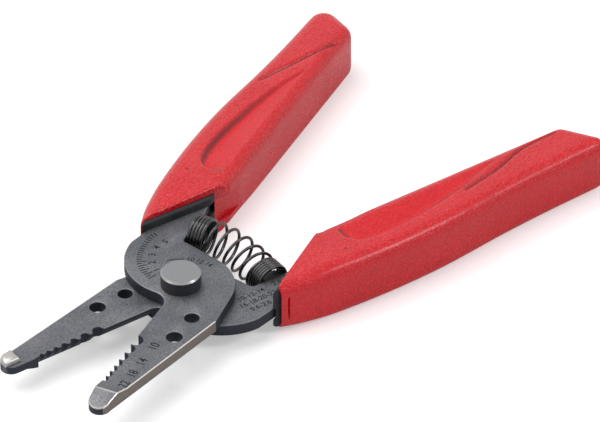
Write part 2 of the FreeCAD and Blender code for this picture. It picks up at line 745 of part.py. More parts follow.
def main():
    doc = FreeCAD.newDocument("wire_stripper")
    sheet, d = make_sheet(doc)
    pieces = []
    for half in HALVES:
        for make, name in ((make_blade, "blade"), (make_core, "grip_core"), (make_cover, "grip_cover")):
            piece = make(doc, f"{half}_{name}", d)
            place_half(piece, half, d)
            pieces.append(piece)
    for make in (make_bolt, make_washer, make_nut):
        piece = make(doc, d)
        place_on_pivot(piece, d)
        pieces.append(piece)
    pieces.append(make_spring(doc, d))
    doc.recompute()
    check_document(doc, pieces)

    # The origin lies in the middle of the whole tool's box, so the pivot is moved off it to suit.
    box = FreeCAD.BoundBox()
    for piece in pieces:
        box.add(piece.Shape.optimalBoundingBox(False))
    sheet.set(sheet.getCellFromAlias("pivot_shift"), f"{-box.Center.x:.6f}")
    doc.recompute()
    check_document(doc, pieces)
    os.makedirs("parts", exist_ok=True)
    for piece in pieces:
        piece.Shape.exportStep(f"parts/{piece.Label}.step")
        bounds = piece.Shape.BoundBox
        print(f"{piece.Label:18s} {len(piece.Shape.Solids)} solid, {piece.Shape.Volume:9.1f} mm3,",
              f"{bounds.XLength:6.1f} x {bounds.YLength:5.1f} x {bounds.ZLength:5.1f}")
    print(f"pivot at x = {float(sheet.pivot_shift):.4f} mm")


main()
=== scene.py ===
import json
import logging
import math
from dataclasses import dataclass, field
from enum import Enum
from typing import Any, Callable, Optional, Sequence, Union

import bmesh
import bpy
import numpy as np
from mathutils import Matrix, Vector
from mathutils.geometry import delaunay_2d_cdt


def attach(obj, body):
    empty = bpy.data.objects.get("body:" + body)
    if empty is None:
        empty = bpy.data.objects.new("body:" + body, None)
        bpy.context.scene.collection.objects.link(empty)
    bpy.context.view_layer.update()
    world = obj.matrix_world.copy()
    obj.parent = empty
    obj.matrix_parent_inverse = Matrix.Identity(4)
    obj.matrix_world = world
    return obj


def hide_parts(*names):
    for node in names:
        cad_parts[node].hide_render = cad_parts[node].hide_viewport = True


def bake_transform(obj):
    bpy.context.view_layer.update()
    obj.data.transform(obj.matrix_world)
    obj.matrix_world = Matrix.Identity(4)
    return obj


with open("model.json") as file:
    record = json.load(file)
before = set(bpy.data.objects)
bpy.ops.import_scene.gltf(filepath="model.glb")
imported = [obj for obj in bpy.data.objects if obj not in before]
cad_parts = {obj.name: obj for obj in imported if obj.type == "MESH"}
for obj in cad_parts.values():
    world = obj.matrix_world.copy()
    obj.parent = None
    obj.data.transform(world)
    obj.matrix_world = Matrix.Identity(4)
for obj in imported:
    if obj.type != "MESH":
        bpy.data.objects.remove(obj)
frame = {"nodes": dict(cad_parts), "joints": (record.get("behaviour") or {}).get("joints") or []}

LOG = logging.getLogger("stripper")
MM = 0.001
Colour = tuple[float, float, float]
Point = tuple[float, float]


class Side(Enum):
    """The two stamped halves of the tool."""

    UPPER = "upper"
    LOWER = "lower"

    @property
    def body(self) -> str:
        """The body that carries this half."""
        return f"{self.value}_half"

    @property
    def sign(self) -> int:
        """1 for the half whose handle points to +Y, and -1 for the one turned over."""
        return 1 if self is Side.UPPER else -1


class Slot(Enum):
    """The record's finishes for remade pieces; no piece here is given one."""

    BLADE = "blade"
    SPRING = "spring"
    COVER = "cover"


# ---------------------------------------------------------------- shader expressions


class Sock:
    """A shader socket on which Python arithmetic adds Math nodes."""

    def __init__(self, tree: bpy.types.NodeTree, socket: bpy.types.NodeSocket) -> None:
        """Keeps the tree that new nodes go into and the socket itself."""
        self.tree = tree
        self.socket = socket

    def math(self, operation: str, *others: Union["Sock", float], clamp: bool = False) -> "Sock":
        """Adds one Math node with this socket first.

        Args:
            operation: the Math node's operation.
            others: what goes into its other inputs.
            clamp: whether the result stays between 0 and 1.

        Returns:
            The node's output.
        """
        return self._math(operation, (self, *others), clamp)

    def _math(self, operation: str, values: Sequence[Union["Sock", float]], clamp: bool = False) -> "Sock":
        """Adds a Math node fed by values in order."""
        node = self.tree.nodes.new("ShaderNodeMath")
        node.operation = operation
        node.use_clamp = clamp
        for place, value in zip(node.inputs, values):
            if isinstance(value, Sock):
                self.tree.links.new(value.socket, place)
            else:
                place.default_value = value
        return Sock(self.tree, node.outputs[0])

    def __add__(self, other: Union["Sock", float]) -> "Sock":
        """This plus other."""
        return self._math("ADD", (self, other))

    def __radd__(self, other: float) -> "Sock":
        """A number plus this."""
        return self._math("ADD", (other, self))

    def __sub__(self, other: Union["Sock", float]) -> "Sock":
        """This less other."""
        return self._math("SUBTRACT", (self, other))

    def __rsub__(self, other: float) -> "Sock":
        """A number less this."""
        return self._math("SUBTRACT", (other, self))

    def __mul__(self, other: Union["Sock", float]) -> "Sock":
        """This times other."""
        return self._math("MULTIPLY", (self, other))

    def __rmul__(self, other: float) -> "Sock":
        """A number times this."""
        return self._math("MULTIPLY", (other, self))

    def ramp(self, low: float, high: float) -> "Sock":
        """0 at low and 1 at high, held between 0 and 1."""
        return ((self - low) * (1.0 / (high - low))).math("ADD", 0.0, clamp=True)


Value = Union[Sock, float, Colour]


class Paint:
    """A material being written: its nodes, and the one Principled shader they feed."""

    def __init__(self, name: str, **constants: float) -> None:
        """Makes the material.

        Args:
            name: the material's name.
            constants: what is the same all over, set on the shader's own sockets, with _ for spaces.
        """
        self.material = bpy.data.materials.new(name)
        self.material.use_nodes = True
        self.tree = self.material.node_tree
        self.shader = next(n for n in self.tree.nodes if n.type == "BSDF_PRINCIPLED")
        for key, value in constants.items():
            self.shader.inputs[key.replace("_", " ")].default_value = value

    def node(
        self,
        kind: str,
        settings: Optional[dict[str, Any]] = None,
        inputs: Optional[dict[Union[str, int], Value]] = None,
        output: Union[str, int] = 0,
    ) -> Sock:
        """Adds any node.

        Args:
            kind: the node's type, without ShaderNode.
            settings: attributes set before the sockets.
            inputs: values or sockets by input name or number.
            output: the output to give back.

        Returns:
            That output.
        """
        node = self.tree.nodes.new("ShaderNode" + kind)
        for key, value in (settings or {}).items():
            setattr(node, key, value)
        for key, value in (inputs or {}).items():
            place = node.inputs[key]
            if isinstance(value, Sock):
                self.tree.links.new(value.socket, place)
            elif isinstance(value, tuple) and place.type == "RGBA":
                place.default_value = (*value, 1.0)
            else:
                place.default_value = value
        return Sock(self.tree, node.outputs[output])

    def place(self) -> Sock:
        """Where a point is on its own piece, in metres."""
        return self.node("TexCoord", output="Object")

    def attribute(self, name: str) -> Sock:
        """A number stored on the mesh."""
        return self.node("Attribute", {"attribute_name": name}, output="Fac")

    def noise(
        self, size: float, detail: float = 2.0, stretch: Colour = (1.0, 1.0, 1.0), rough: float = 0.5
    ) -> Sock:
        """Soft noise.

        Args:
            size: the size of its blotches in millimetres.
            detail: octaves.
            stretch: scale along each axis.
            rough: how strong the small octaves are.

        Returns:
            The noise, about 0.5.
        """
        vector = self.node("VectorMath", {"operation": "MULTIPLY"}, {0: self.place(), 1: stretch})
        return self.node(
            "TexNoise",
            {"noise_dimensions": "3D"},
            {"Vector": vector, "Scale": 1.0 / (size * MM), "Detail": detail, "Roughness": rough},
        )

    def cells(self, size: float) -> Sock:
        """Distance inside Voronoi cells of a size in millimetres."""
        inputs = {"Vector": self.place(), "Scale": 1.0 / (size * MM)}
        return self.node("TexVoronoi", {"feature": "F1"}, inputs, "Distance")

    def flatness(self) -> Sock:
        """1 where a surface lies flat and 0 where it stands upright."""
        normal = self.node("NewGeometry", output="Normal")
        return self.node("SeparateXYZ", {}, {0: normal}, "Z").math("ABSOLUTE")

    def mix(self, factor: Union[Sock, float], first: Value, second: Value) -> Sock:
        """Colour first where factor is 0 and second where it is 1."""
        return self.node("Mix", {"data_type": "RGBA"}, {0: factor, 6: first, 7: second}, 2)

    def bump(self, height: Sock, depth: float, strength: float = 1.0) -> Sock:
        """Raises height into a normal.

        Args:
            height: 0 to 1.
            depth: what 1 stands for, in millimetres.
            strength: the Bump node's strength.

        Returns:
            The normal.
        """
        return self.node("Bump", {}, {"Height": height, "Distance": depth * MM, "Strength": strength})

    def feed(self, **links: Sock) -> bpy.types.Material:
        """Links sockets into the shader, with _ for spaces, and returns the material."""
        for key, value in links.items():
            self.tree.links.new(value.socket, self.shader.inputs[key.replace("_", " ")])
        return self.material


# ---------------------------------------------------------------- finishes


@dataclass(frozen=True)
class MouldedRed:
    """Soft red vinyl with a pebbled leather grain, and painted shade on its sunk panel's wall, its groove
    and its pit.
    """

    name: str = "moulded_red"
    light: Colour = (0.94, 0.007, 0.02)
    deep: Colour = (0.46, 0.0, 0.004)
    # painted shade: the deep red put on the panel's steep wall, the groove and the pit
    shaded_wall_red: Colour = (0.19, 0.0, 0.001)
    grain: float = 0.6
    grain_depth: float = 0.16

    def make(self) -> bpy.types.Material:
        """Writes the material."""
        paint = Paint(self.name, Specular_IOR_Level=0.32, Coat_Weight=0.3, Coat_Roughness=0.2)
        blotches = paint.noise(9.0, 3.0)
        cells = paint.cells(self.grain)
        fine = paint.noise(0.3, 2.0, rough=0.7)
        pebble = cells.ramp(0.05, 0.62) * 0.7 + fine * 0.3
        smooth, wall = paint.attribute("smooth"), paint.attribute("wall")
        grainy = 1.0 - smooth * 0.5
        colour = paint.mix(blotches.ramp(0.3, 0.75) * 0.15 + pebble * 0.75, self.light, self.deep)
        # Painted shade: the wall value darkens the panel's steep wall, the groove and the pit to a deep red.
        colour = paint.mix(wall, colour, self.shaded_wall_red)
        height = (1.0 - pebble) * grainy
        rough = 0.22 + blotches.ramp(0.35, 0.7) * 0.06 + fine * 0.08 + smooth * 0.1
        normal = paint.bump(height, self.grain_depth)
        return paint.feed(Base_Color=colour, Roughness=rough, Normal=normal)


@dataclass(frozen=True)
class BlackOxide:
    """Steel with a thin black oxide, blasted to a fine speckle and rubbed bright along its edges, with a
    painted highlight on those edges and the lip, and painted shade on its upright sides.
    """

    name: str = "black_oxide"
    dark: Colour = (0.15, 0.156, 0.174)
    pale: Colour = (0.235, 0.24, 0.255)
    warm: Colour = (0.29, 0.25, 0.23)
    # near-black: painted shade on the upright sides, and the dark speckle and pits on the flats
    wall: Colour = (0.022, 0.027, 0.038)
    ground: Colour = (0.2, 0.17, 0.15)
    # bare steel: worn edges, and a painted highlight on the broken edges and the lip
    bright: Colour = (0.78, 0.74, 0.7)

    def make(self) -> bpy.types.Material:
        """Writes the material."""
        paint = Paint(self.name, Specular_IOR_Level=0.4)
        patches = paint.noise(12.0, 3.0, rough=0.5).ramp(0.35, 0.7)
        tint = paint.noise(6.0, 3.0).ramp(0.56, 0.78)
        speckle = paint.noise(0.3, 2.0, rough=0.8)
        pits = paint.noise(0.55, 1.0).ramp(0.6, 0.72)
        scratches = paint.noise(0.9, 3.0, (1.0, 8.0, 1.0), 0.7).ramp(0.63, 0.74)
        wear_and_highlight, ground, nose = (paint.attribute(key) for key in ("wear_and_highlight", "ground", "nose"))
        upright = 1.0 - paint.flatness().ramp(0.35, 0.8)
        base = paint.mix(patches, self.dark, self.pale)
        base = paint.mix(tint * 0.35 + nose * 0.2, base, self.warm)
        base = paint.mix(speckle.ramp(0.35, 0.65) * 0.6 + pits * 0.3, base, self.wall)
        # Painted shade: the upright sides go near-black, except the ground outer side of the jaw.
        side = paint.mix(ground, self.wall, self.ground)
        side = paint.mix(speckle.ramp(0.45, 0.75) * 0.35, side, self.wall)
        base = paint.mix(upright, base, side)
        # Rubbed bright: real wear, and a painted highlight on the broken edges and the lip.
        rubbed = wear_and_highlight * (0.55 + speckle * 0.6) + scratches * 0.4 * (1.0 - upright)
        colour = paint.mix(rubbed, base, self.bright)
        rough = 0.5 + speckle * 0.14 - patches * 0.06 - wear_and_highlight * 0.2 - nose * 0.08
        metal = 0.68 + wear_and_highlight * 0.27 - upright * 0.3
        normal = paint.bump(speckle * 0.75 + pits * 0.25, 0.014, 0.7)
        return paint.feed(Base_Color=colour, Roughness=rough, Metallic=metal, Normal=normal)


@dataclass(frozen=True)
class PivotSteel:
    """Turned steel: satin on its flats, with painted shade on its sides and a painted highlight on its
    sloping rims.
    """

    name: str = "pivot_steel"
    flat: Colour = (0.25, 0.255, 0.265)
    # painted shade on the upright sides
    side: Colour = (0.03, 0.032, 0.04)
    # painted highlight on the sloping rims
    rim: Colour = (0.42, 0.41, 0.4)

    def make(self) -> bpy.types.Material:
        """Writes the material."""
        paint = Paint(self.name, Specular_IOR_Level=0.5)
        flatness = paint.flatness()
        flat = flatness.ramp(0.9, 0.98)
        rim = flatness.ramp(0.25, 0.5) * (1.0 - flat)
        speckle = paint.noise(0.3, 2.0, rough=0.7)
        patches = paint.noise(3.0, 3.0).ramp(0.4, 0.7)
        # Painted shade darkens the upright sides, and a painted highlight lightens the sloping rims.
        colour = paint.mix(flat, self.side, self.flat)
        colour = paint.mix(rim * 0.8, colour, self.rim)
        colour = paint.mix(speckle.ramp(0.5, 0.8) * 0.25, colour, self.side)
        rough = 0.42 + speckle * 0.15 - rim * 0.15 - patches * 0.06
        metal = 0.35 + flat * 0.45
        normal = paint.bump(speckle, 0.008, 0.5)
        return paint.feed(Base_Color=colour, Roughness=rough, Metallic=metal, Normal=normal)


@dataclass(frozen=True)
class BlackWire:
    """Black enamelled spring wire with a hard gloss."""

    name: str = "black_wire"
    black: Colour = (0.012, 0.012, 0.014)
    rubbed: Colour = (0.06, 0.055, 0.055)

    def make(self) -> bpy.types.Material:
        """Writes the material."""
        paint = Paint(self.name, Specular_IOR_Level=0.7, Coat_Weight=0.35, Coat_Roughness=0.12)
        rubs = paint.noise(0.7, 3.0).ramp(0.5, 0.8)
        speckle = paint.noise(0.2, 2.0)
        colour = paint.mix(rubs, self.black, self.rubbed)
        return paint.feed(
            Base_Color=colour, Roughness=0.25 + rubs * 0.12, Metallic=0.25 + rubs * 0.3,
            Normal=paint.bump(speckle, 0.006, 0.5),
        )


@dataclass(frozen=True)
class MattLiner:
    """Black moulded nylon with a fine matt grain."""

    name: str = "matt_liner"
    black: Colour = (0.012, 0.016, 0.018)
    dusty: Colour = (0.03, 0.035, 0.037)

    def make(self) -> bpy.types.Material:
        """Writes the material."""
        paint = Paint(self.name, Specular_IOR_Level=0.35)
        dust = paint.noise(2.5, 4.0).ramp(0.4, 0.75)
        grain = paint.cells(0.4)
        return paint.feed(
            Base_Color=paint.mix(dust, self.black, self.dusty),
            Roughness=0.55 + dust * 0.15,
            Normal=paint.bump(grain, 0.02, 0.6),
        )


@dataclass(frozen=True)
class Engraved:
    """The dark floor of an etched mark."""

    name: str = "engraved"
    dark: Colour = (0.004, 0.004, 0.005)
    grey: Colour = (0.02, 0.02, 0.023)

    def make(self) -> bpy.types.Material:
        """Writes the material."""
        paint = Paint(self.name, Specular_IOR_Level=0.2)
        blotch = paint.noise(0.5, 3.0).ramp(0.35, 0.7)
        return paint.feed(Base_Color=paint.mix(blotch, self.dark, self.grey), Roughness=0.6 + blotch * 0.2)


# ---------------------------------------------------------------- shapes


@dataclass(frozen=True)
class HalfFrame:
    """A half's axes: u from the pivot to the grip's end, v to its handle side, w off the meeting plane."""

    side: Side
    pivot: Vector
    lean: float = math.radians(14.7)

    def place(self, points: np.ndarray) -> np.ndarray:
        """Turns rows of u, v, w in millimetres into the assembly's metres."""
        u, v, w = np.asarray(points, float).T
        cos, sin = math.cos(self.lean), math.sin(self.lean)
        across = u * sin + v * cos
        along = u * cos - v * sin
        rows = np.stack([along, self.side.sign * across, self.side.sign * w], 1)
        return rows * MM + np.array(self.pivot)

    def find(self, point: Vector) -> Vector:
        """Turns a point in the assembly's metres into u, v, w in millimetres."""
        x, y, z = (point - self.pivot) / MM
        y, z = y * self.side.sign, z * self.side.sign
        cos, sin = math.cos(self.lean), math.sin(self.lean)
        return Vector((x * cos + y * sin, y * cos - x * sin, z))


def through(xs: Sequence[float], ys: Sequence[float], x: np.ndarray) -> np.ndarray:
    """A smooth line through points.

    Args:
        xs: rising places.
        ys: values there.
        x: where to read it.

    Returns:
        The values at x, held outside the ends.
    """
    xs_, ys_ = np.asarray(xs, float), np.asarray(ys, float)
    slopes = np.gradient(ys_, xs_)
    x = np.clip(x, xs_[0], xs_[-1])
    i = np.clip(np.searchsorted(xs_, x) - 1, 0, len(xs_) - 2)
    h = xs_[i + 1] - xs_[i]
    t = (x - xs_[i]) / h
    a = (1 + 2 * t) * (1 - t) ** 2
    b = t * (1 - t) ** 2
    c = t * t * (3 - 2 * t)
    d = t * t * (t - 1)
    return a * ys_[i] + b * h * slopes[i] + c * ys_[i + 1] + d * h * slopes[i + 1]


def step(x: np.ndarray) -> np.ndarray:
    """0 below 0, 1 above 1, smooth between."""
    t = np.clip(x, 0.0, 1.0)
    return t * t * (3 - 2 * t)


def rounded(corners: Sequence[tuple[float, float, float]]) -> np.ndarray:
    """A polyline whose corners are arcs.

    Args:
        corners: rows of x, y and the corner's radius, 0 for none.

    Returns:
        Its points.
    """
    points: list[np.ndarray] = []
    for i, (x, y, radius) in enumerate(corners):
        here = np.array([x, y])
        if radius <= 0 or i in (0, len(corners) - 1):
            points.append(here)
            continue
        before = np.array(corners[i - 1][:2]) - here
        after = np.array(corners[i + 1][:2]) - here
        a, b = before / np.linalg.norm(before), after / np.linalg.norm(after)
        half = math.acos(float(np.clip(a @ b, -1, 1))) / 2
        reach = radius / math.tan(half)
        centre = here + (a + b) / np.linalg.norm(a + b) * radius / math.sin(half)
        first, last = here + a * reach - centre, here + b * reach - centre
        start = math.atan2(first[1], first[0])
        swing = math.atan2(last[1], last[0]) - start
        swing = math.atan2(math.sin(swing), math.cos(swing))
        for k in range(13):
            angle = start + swing * k / 12
            points.append(centre + radius * np.array([math.cos(angle), math.sin(angle)]))
    return np.array(points)


def walked(line: np.ndarray) -> np.ndarray:
    """How far along a polyline each of its points is."""
    return np.concatenate([[0.0], np.cumsum(np.linalg.norm(np.diff(line, axis=0), axis=1))])


def resample(line: np.ndarray, gap: Callable[[float], float]) -> np.ndarray:
    """Walks a polyline in steps of gap(distance walked), ends kept."""
    lengths = walked(line)
    stops = [0.0]
    while stops[-1] < lengths[-1]:
        stops.append(stops[-1] + gap(stops[-1]))
    marks = np.array(stops) * lengths[-1] / stops[-1]
    return np.stack([np.interp(marks, lengths, line[:, k]) for k in (0, 1)], 1)


def distance_to(points: np.ndarray, line: np.ndarray) -> np.ndarray:
    """Each point's distance to a polyline."""
    a, b = line[:-1], line[1:]
    run = b - a
    length = np.maximum((run ** 2).sum(1), 1e-12)
    best = np.full(len(points), np.inf)
    for start, way, size in zip(a, run, length):
        t = np.clip(((points - start) @ way) / size, 0, 1)
        gap = points - start - t[:, None] * way
        best = np.minimum(best, (gap ** 2).sum(1))
    return np.sqrt(best)


def inside(points: np.ndarray, loop: np.ndarray) -> np.ndarray:
    """Whether each point lies in a closed loop."""
    hit = np.zeros(len(points), bool)
    for (x0, y0), (x1, y1) in zip(loop, np.roll(loop, -1, axis=0)):
        if y0 == y1:
            continue
        spans = (y0 > points[:, 1]) != (y1 > points[:, 1])
        hit ^= spans & (points[:, 0] < (x1 - x0) * (points[:, 1] - y0) / (y1 - y0) + x0)
    return hit


def offset(line: np.ndarray, distance: float) -> np.ndarray:
    """A polyline moved to its left by a distance."""
    way = np.gradient(line, axis=0)
    way /= np.maximum(np.linalg.norm(way, axis=1), 1e-9)[:, None]
    return line + distance * np.stack([-way[:, 1], way[:, 0]], 1)


def make_object(
    name: str,
    points: np.ndarray,
    faces: Sequence[Sequence[int]],
    material: bpy.types.Material,
    sharp: float = 35.0,
    values: Optional[dict[str, np.ndarray]] = None,
) -> bpy.types.Object:
    """Makes a mesh object.

    Args:
        name: the piece's name.
        points: rows in metres.
        faces: corners of each face.
        material: its finish.
        sharp: edges that turn more than this many degrees stay crisp.
        values: numbers kept on the points, by name.

    Returns:
        The object, linked to the scene.
    """
    mesh = bpy.data.meshes.new(name)
    mesh.from_pydata([tuple(p) for p in points], [], [tuple(f) for f in faces])
    mesh.validate()
    for key, numbers in (values or {}).items():
        layer = mesh.attributes.new(key, "FLOAT", "POINT")
        layer.data.foreach_set("value", np.asarray(numbers, np.float32))
    work = bmesh.new()
    work.from_mesh(mesh)
    bmesh.ops.recalc_face_normals(work, faces=work.faces[:])
    work.to_mesh(mesh)
    work.free()
    mesh.polygons.foreach_set("use_smooth", [True] * len(mesh.polygons))
    mesh.set_sharp_from_angle(angle=math.radians(sharp))
    mesh.materials.append(material)
    obj = bpy.data.objects.new(name, mesh)
    bpy.context.scene.collection.objects.link(obj)
    return obj


# ---------------------------------------------------------------- grips

GROOVES: dict[Side, tuple[Point, ...]] = {
    Side.UPPER: ((75.8, 0.77), (79.5, 0.67), (83.1, 0.56), (89.2, 0.38), (97.5, 0.12)),
    Side.LOWER: (
        (71.8, 0.56), (76.5, 0.52), (81.8, 0.46), (86.5, 0.36), (91.1, 0.25), (96.5, 0.2), (102.5, 0.18)
    ),
}
END_RADII: dict[Side, Point] = {Side.UPPER: (3.6, 4.0), Side.LOWER: (3.0, 2.4)}


@dataclass
class GripCover:
    """The red cover of one handle: bowed, soft edged, with a sunk panel and a swept groove."""

    side: Side
    half_height: float = 7.4
    edge: float = 3.2
    wall: float = 2.1
    front: float = 15.5
    mouth_outer: float = 16.7
    mouth_inner: Point = (35.6, 4.9)
    mouth_corner: float = 4.5
    lip: float = 0.55
    soft_points: int = 20
    inner_u: tuple[float, ...] = (12.0, 40.0, 70.0, 105.6)
    inner_v: tuple[float, ...] = (4.9, 4.9, 4.9, 4.9)
    outer_u: tuple[float, ...] = (15.5, 18.5, 24.0, 35.0, 50.0, 62.0, 70.0, 77.0, 85.0, 94.0, 104.0, 113.2)
    outer_v: tuple[float, ...] = (
        18.1, 19.0, 19.9, 20.8, 21.15, 20.65, 19.85, 19.05, 18.35, 17.75, 17.3, 16.9
    )
    end_inner: Point = (105.6, 4.9)
    end_outer: Point = (113.2, 16.9)
    end_radii: Point = (3.6, 4.0)
    panel_u: tuple[float, ...] = (37.6, 39.4, 43.5, 48.0, 54.2, 61.8, 70.0, 77.2, 85.5)
    panel_share: tuple[float, ...] = (0.42, 0.58, 0.67, 0.685, 0.665, 0.61, 0.54, 0.44, 0.24)
    panel_depth: float = 1.5
    panel_floor_share: float = 0.2
    panel_fade: float = 0.75
    panel_fade_from: float = 50.0
    panel_fade_run: float = 36.0
    panel_wall: float = 1.9
    groove: tuple[Point, ...] = GROOVES[Side.UPPER]
    groove_width: float = 0.7
    groove_depth: float = 0.6
    pit: Point = (35.5, 15.6)
    pit_radius: float = 0.5
    pit_depth: float = 0.7
    mouth_fall: float = 0.6
    front_fall: float = 0.45
    front_fall_from: float = 34.0
    front_fall_run: float = 20.0
    slope_fall: float = 0.35
    slope_run: float = 9.0
    flap: float = 1.8
    flap_depth: float = 0.6
    flap_width: float = 0.32
    spacing: float = 0.75
    line: np.ndarray = field(init=False)
    mouth: np.ndarray = field(init=False)
    soft: np.ndarray = field(init=False)

    def __post_init__(self) -> None:
        """Works out the outline in plan: the long way round, the mouth, and the part with a soft edge."""
        outer_u = np.linspace(self.front, self.end_outer[0] - 9.0, 90)[::-1]
        outer_v = self.outer(outer_u)
        corners = [(*self.mouth_start(), 0.0)]
        corners += [(*self.end_inner, self.end_radii[0]), (*self.end_outer, self.end_radii[1])]
        corners += [(float(u), float(v), 0.0) for u, v in zip(outer_u, outer_v)]
        whole = rounded(corners)
        length = float(np.linalg.norm(np.diff(whole, axis=0), axis=1).sum())
        self.line = resample(whole, lambda s: self.spacing if s < length - 4 else 0.14)
        front = [(*self.line[-1], 0.0), (self.front, self.mouth_outer, 0.35)]
        front.append((*self.mouth_inner, self.mouth_corner))
        front.append((*self.mouth_start(), 0.0))
        self.mouth = resample(rounded(front), lambda s: 0.3)
        self.soft = np.concatenate([self.mouth[-self.soft_points:-1], self.line])

    def mouth_start(self) -> Point:
        """Where the mouth's rounded inner corner meets the inner side."""
        u = self.mouth_inner[0] + self.mouth_corner * 1.2
        return (u, float(self.inner(np.array([u]))[0]))

    def inner(self, u: np.ndarray) -> np.ndarray:
        """The inner side's v."""
        return through(self.inner_u, self.inner_v, u)

    def outer(self, u: np.ndarray) -> np.ndarray:
        """The outer side's v."""
        return through(self.outer_u, self.outer_v, u)

    def across(self, u: np.ndarray, share: np.ndarray) -> np.ndarray:
        """Points at a share of the way from the inner side to the outer, as rows of u, v."""
        return np.stack([u, self.inner(u) + share * (self.outer(u) - self.inner(u))], 1)

    def panel_edge(self) -> np.ndarray:
        """The panel's rim in plan, from its inner front corner round to its tip."""
        u = np.linspace(self.panel_u[0], self.panel_u[-1], 110)
        top = self.across(u, through(self.panel_u, self.panel_share, u))
        low = self.across(np.array([self.panel_u[0]]), np.array([self.panel_floor_share]))
        corner = [(*low[0], 0.0), (top[0][0], top[0][1], 0.0)]
        return np.concatenate([rounded(corner), top[1:]])

    def groove_line(self) -> np.ndarray:
        """The swept groove in plan."""
        u = np.linspace(self.groove[0][0], self.groove[-1][0], 60)
        return self.across(u, through([p[0] for p in self.groove], [p[1] for p in self.groove], u))

    def height(self, points: np.ndarray) -> np.ndarray:
        """How high the cover's face stands over the meeting plane at points in plan.

        Args:
            points: rows of u, v.

        Returns:
            w in millimetres.
        """
        u = points[:, 0]
        side = distance_to(points, self.soft)
        mouth = distance_to(points, self.mouth)
        fall = self.roll(side, self.edge) + self.mouth_fall * self.roll(mouth, self.lip) / self.lip
        fall = fall + self.front_fall * step((self.front_fall_from - u) / self.front_fall_run)
        fall = fall + self.slope_fall * step(1.0 - mouth / self.slope_run)
        sunk = self.sunk(points)[0]
        gap = distance_to(points, self.groove_line())
        cut = self.groove_depth * (1 - step(gap / self.groove_width))
        from_pit = np.linalg.norm(points - np.array(self.pit), axis=1)
        hole = self.pit_depth * (1 - step(from_pit / self.pit_radius))
        return self.half_height - fall - np.maximum(np.maximum(sunk, cut), hole)

    def sunk(self, points: np.ndarray) -> tuple[np.ndarray, np.ndarray]:
        """The sunk panel at points in plan.

        Args:
            points: rows of u, v.

        Returns:
            Its depth in millimetres, and how far up its steep wall each point is, 1 in the wall's middle.
        """
        u, v = points.T
        width = self.outer(u) - self.inner(u)
        share = (v - self.inner(u)) / width
        rim = through(self.panel_u, self.panel_share, u)
        into = np.minimum((rim - share) * width, u - self.panel_u[0])
        fade = self.panel_fade * step((u - self.panel_fade_from) / self.panel_fade_run)
        depth = self.panel_depth * (1 - fade)
        up = share - self.panel_floor_share
        tilt = np.clip(up / np.maximum(rim - 0.1 - self.panel_floor_share, 0.03), 0, 1)
        lower = np.clip((up + 0.04) / 0.07, 0, 1)
        down = step(into / self.panel_wall)
        inside_ = (u > self.panel_u[0]) & (u < self.panel_u[-1])
        wall = np.where(inside_ & (share > self.panel_floor_share), 1 - np.abs(2 * down - 1), 0.0)
        sunk = np.where(inside_, depth * down * (0.06 + 0.94 * tilt) * step(lower), 0.0)
        return sunk, wall * depth / self.panel_depth

    @staticmethod
    def roll(distance: np.ndarray, radius: float) -> np.ndarray:
        """How far a rounded edge falls at a distance from it."""
        short = np.clip(radius - distance, 0, radius)
        return radius - np.sqrt(np.maximum(radius ** 2 - short ** 2, 0))

    def plan(self) -> tuple[np.ndarray, np.ndarray]:
        """The face's points in plan, the outline first, and its triangles."""
        outline = np.concatenate([self.line[:-1], self.mouth[:-1]])
        rows: list[np.ndarray] = []
        for angle in range(20, 91, 10):
            away = self.edge * (1 - math.cos(math.radians(angle)))
            ring = offset(self.soft, away)
            rows.append(ring[distance_to(ring, self.soft) > away - 0.03])
        for away in (0.12, 0.3, 0.6):
            rows.append(offset(self.mouth, away)[::2])
        rim = self.panel_edge()
        for away in (0.05, -0.25, -0.55, -0.85, -1.15, -1.5, -1.9):
            rows.append(resample(offset(rim, away), lambda s: 0.5))
        for radius in (0.0, 0.25, 0.5, 0.7):
            turn = np.linspace(0, 2 * math.pi, 13)[:-1]
            rows.append(np.array(self.pit) + radius * np.stack([np.cos(turn), np.sin(turn)], 1))
        for away in (-0.65, -0.4, -0.2, 0.0, 0.2, 0.4, 0.65):
            rows.append(resample(offset(self.groove_line(), away), lambda s: 0.45))
        made = np.concatenate(rows)
        gap = self.spacing
        u, v = np.meshgrid(np.arange(10.0, 116.0, gap), np.arange(0.0, 24.0, gap * 0.87))
        u = u + (np.arange(u.shape[0]) % 2)[:, None] * gap / 2
        grid = np.stack([u.ravel(), v.ravel()], 1)
        grid = grid[inside(grid, outline)]
        grid = grid[distance_to(grid, self.soft) > self.edge + 0.2]
        near = np.array([((made - p) ** 2).sum(1).min() for p in grid])
        made = np.concatenate([made, grid[near > (gap * 0.55) ** 2]])
        off_edge = distance_to(made, np.concatenate([outline, outline[:1]])) > 0.035
        keep = inside(made, outline) & off_edge
        made = np.concatenate([outline, np.unique(np.round(made[keep], 3), axis=0)])
        points, _, faces, _, _, _ = delaunay_2d_cdt(
            [Vector(p) for p in made], [], [list(range(len(outline)))], 1, 1e-5, False
        )
        plan, triangles = np.array([tuple(p) for p in points]), np.array([list(f) for f in faces])
        return plan, triangles[inside(plan[triangles].mean(1), outline)]

